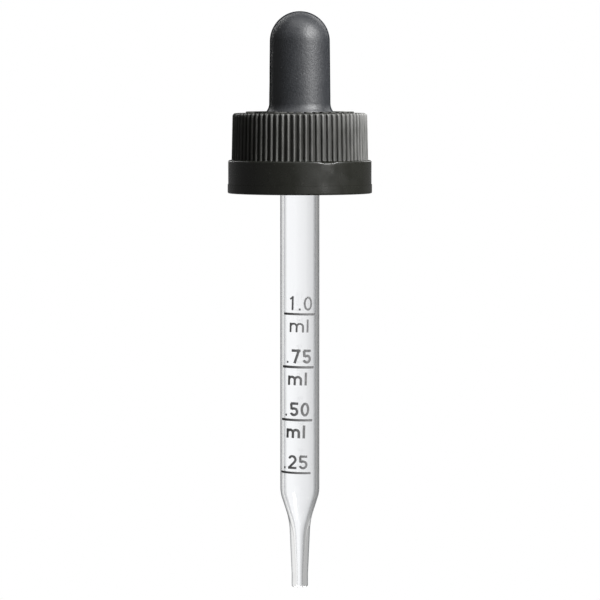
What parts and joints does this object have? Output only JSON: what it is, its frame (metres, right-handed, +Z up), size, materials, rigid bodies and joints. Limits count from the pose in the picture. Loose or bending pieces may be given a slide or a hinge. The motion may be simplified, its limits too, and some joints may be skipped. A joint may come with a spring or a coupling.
{
  "type": "medicine dropper",
  "caption": "Graduated glass dropper with a rubber squeeze bulb and a push-and-turn child-resistant screw closure for a small bottle neck.",
  "frame": {"origin": "middle of the sealing face, where the rubber flange rests on the bottle's lip", "axes": "+Z up along the closure and the bulb, the pipette hangs along -Z, and the printed scale faces -Y"},
  "size_m": [0.0258, 0.0258, 0.1032],
  "materials": {
    "closure_plastic": "semi-matte moulded black polypropylene with fine ribs",
    "inner_plastic": "plain moulded black polypropylene",
    "bulb_rubber": "matte black rubber, faintly grained",
    "pipette_glass": "clear drawn glass with fire-polished ends",
    "print_ink": "black fired ceramic ink"
  },
  "bodies": {
    "closure": {"inner_cap": "inner_plastic", "bulb_collar": "bulb_rubber", "glass_pipette": "pipette_glass", "graduation_lines": "print_ink", "graduation_numerals": "print_ink"},
    "spring": {"spring_fingers": "inner_plastic"},
    "shell": {"outer_shell": "closure_plastic"},
    "bulb": {"squeeze_bulb": "bulb_rubber"}
  },
  "joints": [
    {"name": "shell_turn", "type": "hinge", "parent": "closure", "child": "spring", "pos_m": [0, 0, 0], "axis": [0, 0, 1], "continuous": true},
    {"name": "shell_push", "type": "slide", "parent": "spring", "child": "shell", "axis": [0, 0, -1], "range_m": [0, 0.001], "stiffness_N_per_m": 8000, "deforming": ["spring_fingers"]},
    {"name": "bulb_press", "type": "slide", "parent": "closure", "child": "bulb", "axis": [0, 0, -1], "range_m": [0, 0.006], "stiffness_N_per_m": 700, "deforming": ["squeeze_bulb"]}
  ]
}
